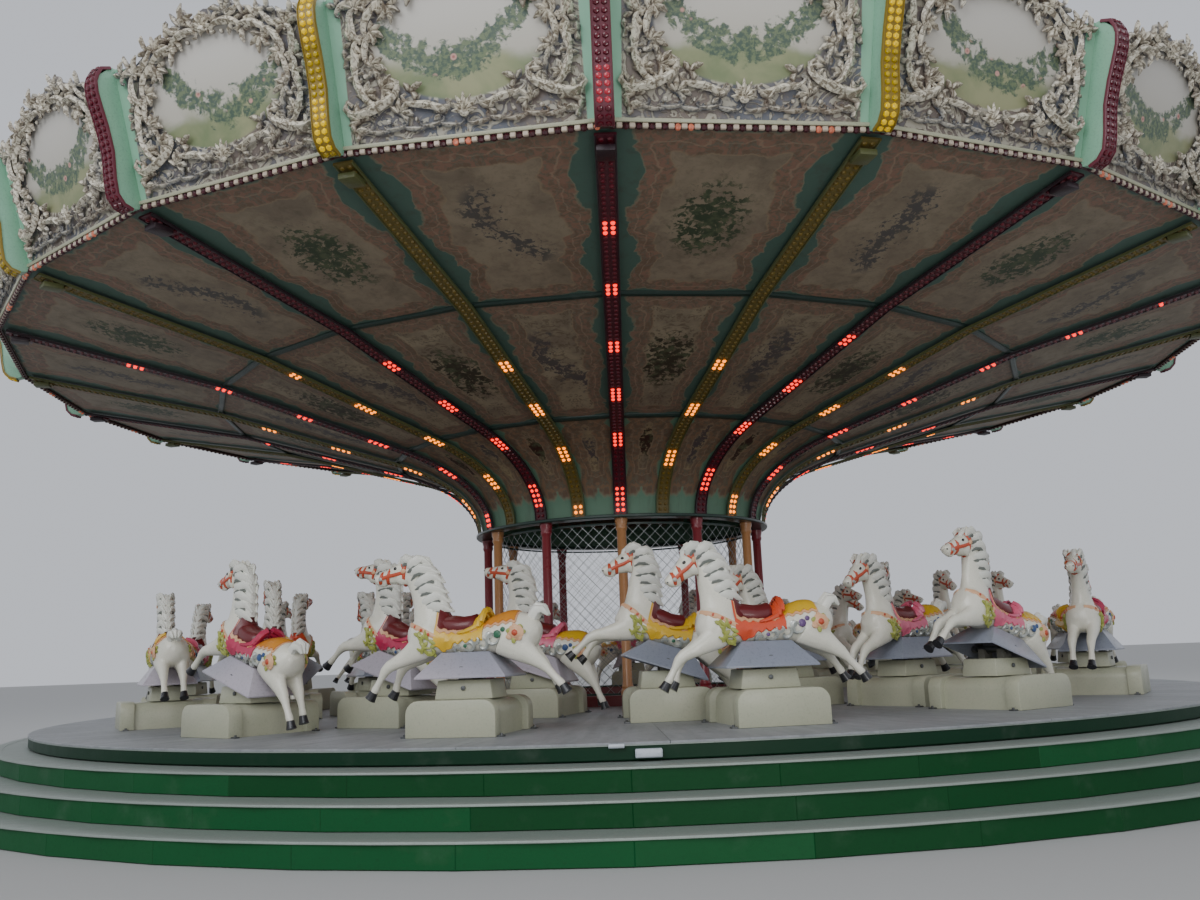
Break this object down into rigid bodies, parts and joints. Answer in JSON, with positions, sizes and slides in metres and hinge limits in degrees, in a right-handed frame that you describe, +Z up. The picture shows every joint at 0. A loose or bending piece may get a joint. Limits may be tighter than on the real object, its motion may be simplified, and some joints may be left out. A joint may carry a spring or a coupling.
{
  "type": "fairground carousel",
  "caption": "Round fairground carousel: stepped plinth, turning deck, three rows of rocking horses on pedestals, centre posts and a funnel-shaped lit canopy with carved boards round its rim.",
  "frame": {"origin": "on the turning axis at ground level, centre of the plinth's underside", "axes": "+Z up along the turning axis, -Y towards the side that the picture shows"},
  "size_m": [14.88, 14.88, 6.3199],
  "materials": {
    "step_green": "satin paint",
    "deck_grey": "worn grey paint",
    "horse_cream": "gloss paint over moulded shell",
    "soffit_paint": "painted panels",
    "trim_green": "gloss paint",
    "rib_paint": "gloss paint",
    "carved_cream": "painted carving",
    "fin_mint": "gloss paint",
    "post_red": "gloss paint",
    "wire": "galvanised",
    "steel": "painted steel",
    "roof_sheet": "matt coated sheet"
  },
  "bodies": {
    "plinth": {"plinth_lower_step": "step_green", "plinth_middle_step": "step_green", "plinth_upper_step": "step_green", "centre_bearing": "steel"},
    "turntable": {"deck_outer_ring": "deck_grey", "deck_middle_ring": "deck_grey", "deck_inner_ring": "deck_grey", "deck_hub": "deck_grey", "centre_posts": "post_red", "centre_fence": "wire", "lip_ring": "trim_green", "soffit_bell": "soffit_paint", "soffit_middle": "soffit_paint", "soffit_outer": "soffit_paint", "outer_ring_bar": "trim_green", "inner_ring_bar": "trim_green", "light_ribs": "rib_paint", "rim_beam": "steel", "canopy_roof": "roof_sheet", "roof_cap": "fin_mint", "rounding_boards_1": "carved_cream", "rounding_boards_2": "carved_cream", "rounding_boards_3": "carved_cream", "rounding_boards_4": "carved_cream", "rim_bulb_rail": "rib_paint"},
    "outer_horse_01": {"outer_horse_01": "horse_cream"},
    "outer_horse_02": {"outer_horse_02": "horse_cream"},
    "outer_horse_03": {"outer_horse_03": "horse_cream"},
    "outer_horse_04": {"outer_horse_04": "horse_cream"},
    "outer_horse_05": {"outer_horse_05": "horse_cream"},
    "outer_horse_06": {"outer_horse_06": "horse_cream"},
    "outer_horse_07": {"outer_horse_07": "horse_cream"},
    "outer_horse_08": {"outer_horse_08": "horse_cream"},
    "outer_horse_09": {"outer_horse_09": "horse_cream"},
    "outer_horse_10": {"outer_horse_10": "horse_cream"},
    "outer_horse_11": {"outer_horse_11": "horse_cream"},
    "outer_horse_12": {"outer_horse_12": "horse_cream"},
    "outer_horse_13": {"outer_horse_13": "horse_cream"},
    "outer_horse_14": {"outer_horse_14": "horse_cream"},
    "outer_horse_15": {"outer_horse_15": "horse_cream"},
    "middle_horse_01": {"middle_horse_01": "horse_cream"},
    "middle_horse_02": {"middle_horse_02": "horse_cream"},
    "middle_horse_03": {"middle_horse_03": "horse_cream"},
    "middle_horse_04": {"middle_horse_04": "horse_cream"},
    "middle_horse_05": {"middle_horse_05": "horse_cream"},
    "middle_horse_06": {"middle_horse_06": "horse_cream"},
    "middle_horse_07": {"middle_horse_07": "horse_cream"},
    "middle_horse_08": {"middle_horse_08": "horse_cream"},
    "middle_horse_09": {"middle_horse_09": "horse_cream"},
    "middle_horse_10": {"middle_horse_10": "horse_cream"},
    "middle_horse_11": {"middle_horse_11": "horse_cream"},
    "inner_horse_01": {"inner_horse_01": "horse_cream"},
    "inner_horse_02": {"inner_horse_02": "horse_cream"},
    "inner_horse_03": {"inner_horse_03": "horse_cream"},
    "inner_horse_04": {"inner_horse_04": "horse_cream"},
    "inner_horse_05": {"inner_horse_05": "horse_cream"},
    "inner_horse_06": {"inner_horse_06": "horse_cream"},
    "inner_horse_07": {"inner_horse_07": "horse_cream"},
    "inner_horse_08": {"inner_horse_08": "horse_cream"}
  },
  "joints": [
    {"name": "deck_spin", "type": "hinge", "parent": "plinth", "child": "turntable", "pos_m": [0, 0, 0.475], "axis": [0, 0, 1], "continuous": true},
    {"name": "outer_horse_01_rock", "type": "hinge", "parent": "turntable", "child": "outer_horse_01", "pos_m": [-1.18323, -5.16623, 1.04], "axis": [0.2233, 0.9748, 0], "range_deg": [0, 18]},
    {"name": "outer_horse_02_rock", "type": "hinge", "parent": "turntable", "child": "outer_horse_02", "pos_m": [1.02037, -5.20085, 1.04], "axis": [-0.1925, 0.9813, 0], "range_deg": [0, 18]},
    {"name": "outer_horse_03_rock", "type": "hinge", "parent": "turntable", "child": "outer_horse_03", "pos_m": [3.04753, -4.33619, 1.04], "axis": [-0.575, 0.8181, 0], "range_deg": [-18, 0]},
    {"name": "outer_horse_04_rock", "type": "hinge", "parent": "turntable", "child": "outer_horse_04", "pos_m": [4.54774, -2.72177, 1.04], "axis": [-0.8581, 0.5135, 0], "range_deg": [0, 18]},
    {"name": "outer_horse_05_rock", "type": "hinge", "parent": "turntable", "child": "outer_horse_05", "pos_m": [5.26161, -0.63672, 1.04], "axis": [-0.9928, 0.1201, 0], "range_deg": [0, 18]},
    {"name": "outer_horse_06_rock", "type": "hinge", "parent": "turntable", "child": "outer_horse_06", "pos_m": [5.0657, 1.55841, 1.04], "axis": [-0.9558, -0.294, 0], "range_deg": [-18, 0]},
    {"name": "outer_horse_07_rock", "type": "hinge", "parent": "turntable", "child": "outer_horse_07", "pos_m": [3.99389, 3.48409, 1.04], "axis": [-0.7536, -0.6574, 0], "range_deg": [0, 18]},
    {"name": "outer_horse_08_rock", "type": "hinge", "parent": "turntable", "child": "outer_horse_08", "pos_m": [2.23149, 4.80733, 1.04], "axis": [-0.421, -0.907, 0], "range_deg": [0, 18]},
    {"name": "outer_horse_09_rock", "type": "hinge", "parent": "turntable", "child": "outer_horse_09", "pos_m": [0.08325, 5.29935, 1.04], "axis": [-0.0157, -0.9999, 0], "range_deg": [-18, 0]},
    {"name": "outer_horse_10_rock", "type": "hinge", "parent": "turntable", "child": "outer_horse_10", "pos_m": [-2.07939, 4.87505, 1.04], "axis": [0.3923, -0.9198, 0], "range_deg": [0, 18]},
    {"name": "outer_horse_11_rock", "type": "hinge", "parent": "turntable", "child": "outer_horse_11", "pos_m": [-3.88248, 3.60782, 1.04], "axis": [0.7325, -0.6807, 0], "range_deg": [0, 18]},
    {"name": "outer_horse_12_rock", "type": "hinge", "parent": "turntable", "child": "outer_horse_12", "pos_m": [-5.01425, 1.71676, 1.04], "axis": [0.9461, -0.3239, 0], "range_deg": [-18, 0]},
    {"name": "outer_horse_13_rock", "type": "hinge", "parent": "turntable", "child": "outer_horse_13", "pos_m": [-5.27902, -0.47114, 1.04], "axis": [0.996, 0.0889, 0], "range_deg": [0, 18]},
    {"name": "outer_horse_14_rock", "type": "hinge", "parent": "turntable", "child": "outer_horse_14", "pos_m": [-4.63099, -2.57758, 1.04], "axis": [0.8738, 0.4863, 0], "range_deg": [0, 18]},
    {"name": "outer_horse_15_rock", "type": "hinge", "parent": "turntable", "child": "outer_horse_15", "pos_m": [-3.18223, -4.23833, 1.04], "axis": [0.6004, 0.7997, 0], "range_deg": [-18, 0]},
    {"name": "middle_horse_01_rock", "type": "hinge", "parent": "turntable", "child": "middle_horse_01", "pos_m": [-2.0214, -3.73851, 1.04], "axis": [0.4756, 0.8796, 0], "range_deg": [-18, 0]},
    {"name": "middle_horse_02_rock", "type": "hinge", "parent": "turntable", "child": "middle_horse_02", "pos_m": [0.32068, -4.23789, 1.04], "axis": [-0.0755, 0.9971, 0], "range_deg": [-18, 0]},
    {"name": "middle_horse_03_rock", "type": "hinge", "parent": "turntable", "child": "middle_horse_03", "pos_m": [2.56094, -3.39176, 1.04], "axis": [-0.6026, 0.7981, 0], "range_deg": [0, 18]},
    {"name": "middle_horse_04_rock", "type": "hinge", "parent": "turntable", "child": "middle_horse_04", "pos_m": [3.98813, -1.46878, 1.04], "axis": [-0.9384, 0.3456, 0], "range_deg": [-18, 0]},
    {"name": "middle_horse_05_rock", "type": "hinge", "parent": "turntable", "child": "middle_horse_05", "pos_m": [4.14911, 0.92053, 1.04], "axis": [-0.9763, -0.2166, 0], "range_deg": [-18, 0]},
    {"name": "middle_horse_06_rock", "type": "hinge", "parent": "turntable", "child": "middle_horse_06", "pos_m": [2.99278, 3.01758, 1.04], "axis": [-0.7042, -0.71, 0], "range_deg": [0, 18]},
    {"name": "middle_horse_07_rock", "type": "hinge", "parent": "turntable", "child": "middle_horse_07", "pos_m": [0.88626, 4.15657, 1.04], "axis": [-0.2085, -0.978, 0], "range_deg": [-18, 0]},
    {"name": "middle_horse_08_rock", "type": "hinge", "parent": "turntable", "child": "middle_horse_08", "pos_m": [-1.50164, 3.97587, 1.04], "axis": [0.3533, -0.9355, 0], "range_deg": [-18, 0]},
    {"name": "middle_horse_09_rock", "type": "hinge", "parent": "turntable", "child": "middle_horse_09", "pos_m": [-3.41278, 2.53287, 1.04], "axis": [0.803, -0.596, 0], "range_deg": [0, 18]},
    {"name": "middle_horse_10_rock", "type": "hinge", "parent": "turntable", "child": "middle_horse_10", "pos_m": [-4.24039, 0.2857, 1.04], "axis": [0.9977, -0.0672, 0], "range_deg": [-18, 0]},
    {"name": "middle_horse_11_rock", "type": "hinge", "parent": "turntable", "child": "middle_horse_11", "pos_m": [-3.7217, -2.05218, 1.04], "axis": [0.8757, 0.4829, 0], "range_deg": [-18, 0]},
    {"name": "inner_horse_01_rock", "type": "hinge", "parent": "turntable", "child": "inner_horse_01", "pos_m": [-0.85239, -3.03248, 1.04], "axis": [0.2706, 0.9627, 0], "range_deg": [-18, 0]},
    {"name": "inner_horse_02_rock", "type": "hinge", "parent": "turntable", "child": "inner_horse_02", "pos_m": [1.54156, -2.74702, 1.04], "axis": [-0.4894, 0.8721, 0], "range_deg": [0, 18]},
    {"name": "inner_horse_03_rock", "type": "hinge", "parent": "turntable", "child": "inner_horse_03", "pos_m": [3.03248, -0.85239, 1.04], "axis": [-0.9627, 0.2706, 0], "range_deg": [-18, 0]},
    {"name": "inner_horse_04_rock", "type": "hinge", "parent": "turntable", "child": "inner_horse_04", "pos_m": [2.74702, 1.54156, 1.04], "axis": [-0.8721, -0.4894, 0], "range_deg": [0, 18]},
    {"name": "inner_horse_05_rock", "type": "hinge", "parent": "turntable", "child": "inner_horse_05", "pos_m": [0.85239, 3.03248, 1.04], "axis": [-0.2706, -0.9627, 0], "range_deg": [-18, 0]},
    {"name": "inner_horse_06_rock", "type": "hinge", "parent": "turntable", "child": "inner_horse_06", "pos_m": [-1.54156, 2.74702, 1.04], "axis": [0.4894, -0.8721, 0], "range_deg": [0, 18]},
    {"name": "inner_horse_07_rock", "type": "hinge", "parent": "turntable", "child": "inner_horse_07", "pos_m": [-3.03248, 0.85239, 1.04], "axis": [0.9627, -0.2706, 0], "range_deg": [-18, 0]},
    {"name": "inner_horse_08_rock", "type": "hinge", "parent": "turntable", "child": "inner_horse_08", "pos_m": [-2.74702, -1.54156, 1.04], "axis": [0.8721, 0.4894, 0], "range_deg": [0, 18]}
  ],
  "couplings": [
    {"joint": "outer_horse_02_rock", "follows": "outer_horse_01_rock", "ratio": 1},
    {"joint": "outer_horse_03_rock", "follows": "outer_horse_01_rock", "ratio": -1},
    {"joint": "outer_horse_04_rock", "follows": "outer_horse_01_rock", "ratio": 1},
    {"joint": "outer_horse_05_rock", "follows": "outer_horse_01_rock", "ratio": 1},
    {"joint": "outer_horse_06_rock", "follows": "outer_horse_01_rock", "ratio": -1},
    {"joint": "outer_horse_07_rock", "follows": "outer_horse_01_rock", "ratio": 1},
    {"joint": "outer_horse_08_rock", "follows": "outer_horse_01_rock", "ratio": 1},
    {"joint": "outer_horse_09_rock", "follows": "outer_horse_01_rock", "ratio": -1},
    {"joint": "outer_horse_10_rock", "follows": "outer_horse_01_rock", "ratio": 1},
    {"joint": "outer_horse_11_rock", "follows": "outer_horse_01_rock", "ratio": 1},
    {"joint": "outer_horse_12_rock", "follows": "outer_horse_01_rock", "ratio": -1},
    {"joint": "outer_horse_13_rock", "follows": "outer_horse_01_rock", "ratio": 1},
    {"joint": "outer_horse_14_rock", "follows": "outer_horse_01_rock", "ratio": 1},
    {"joint": "outer_horse_15_rock", "follows": "outer_horse_01_rock", "ratio": -1},
    {"joint": "middle_horse_01_rock", "follows": "outer_horse_01_rock", "ratio": -1},
    {"joint": "middle_horse_02_rock", "follows": "outer_horse_01_rock", "ratio": -1},
    {"joint": "middle_horse_03_rock", "follows": "outer_horse_01_rock", "ratio": 1},
    {"joint": "middle_horse_04_rock", "follows": "outer_horse_01_rock", "ratio": -1},
    {"joint": "middle_horse_05_rock", "follows": "outer_horse_01_rock", "ratio": -1},
    {"joint": "middle_horse_06_rock", "follows": "outer_horse_01_rock", "ratio": 1},
    {"joint": "middle_horse_07_rock", "follows": "outer_horse_01_rock", "ratio": -1},
    {"joint": "middle_horse_08_rock", "follows": "outer_horse_01_rock", "ratio": -1},
    {"joint": "middle_horse_09_rock", "follows": "outer_horse_01_rock", "ratio": 1},
    {"joint": "middle_horse_10_rock", "follows": "outer_horse_01_rock", "ratio": -1},
    {"joint": "middle_horse_11_rock", "follows": "outer_horse_01_rock", "ratio": -1},
    {"joint": "inner_horse_01_rock", "follows": "outer_horse_01_rock", "ratio": -1},
    {"joint": "inner_horse_02_rock", "follows": "outer_horse_01_rock", "ratio": 1},
    {"joint": "inner_horse_03_rock", "follows": "outer_horse_01_rock", "ratio": -1},
    {"joint": "inner_horse_04_rock", "follows": "outer_horse_01_rock", "ratio": 1},
    {"joint": "inner_horse_05_rock", "follows": "outer_horse_01_rock", "ratio": -1},
    {"joint": "inner_horse_06_rock", "follows": "outer_horse_01_rock", "ratio": 1},
    {"joint": "inner_horse_07_rock", "follows": "outer_horse_01_rock", "ratio": -1},
    {"joint": "inner_horse_08_rock", "follows": "outer_horse_01_rock", "ratio": 1}
  ]
}
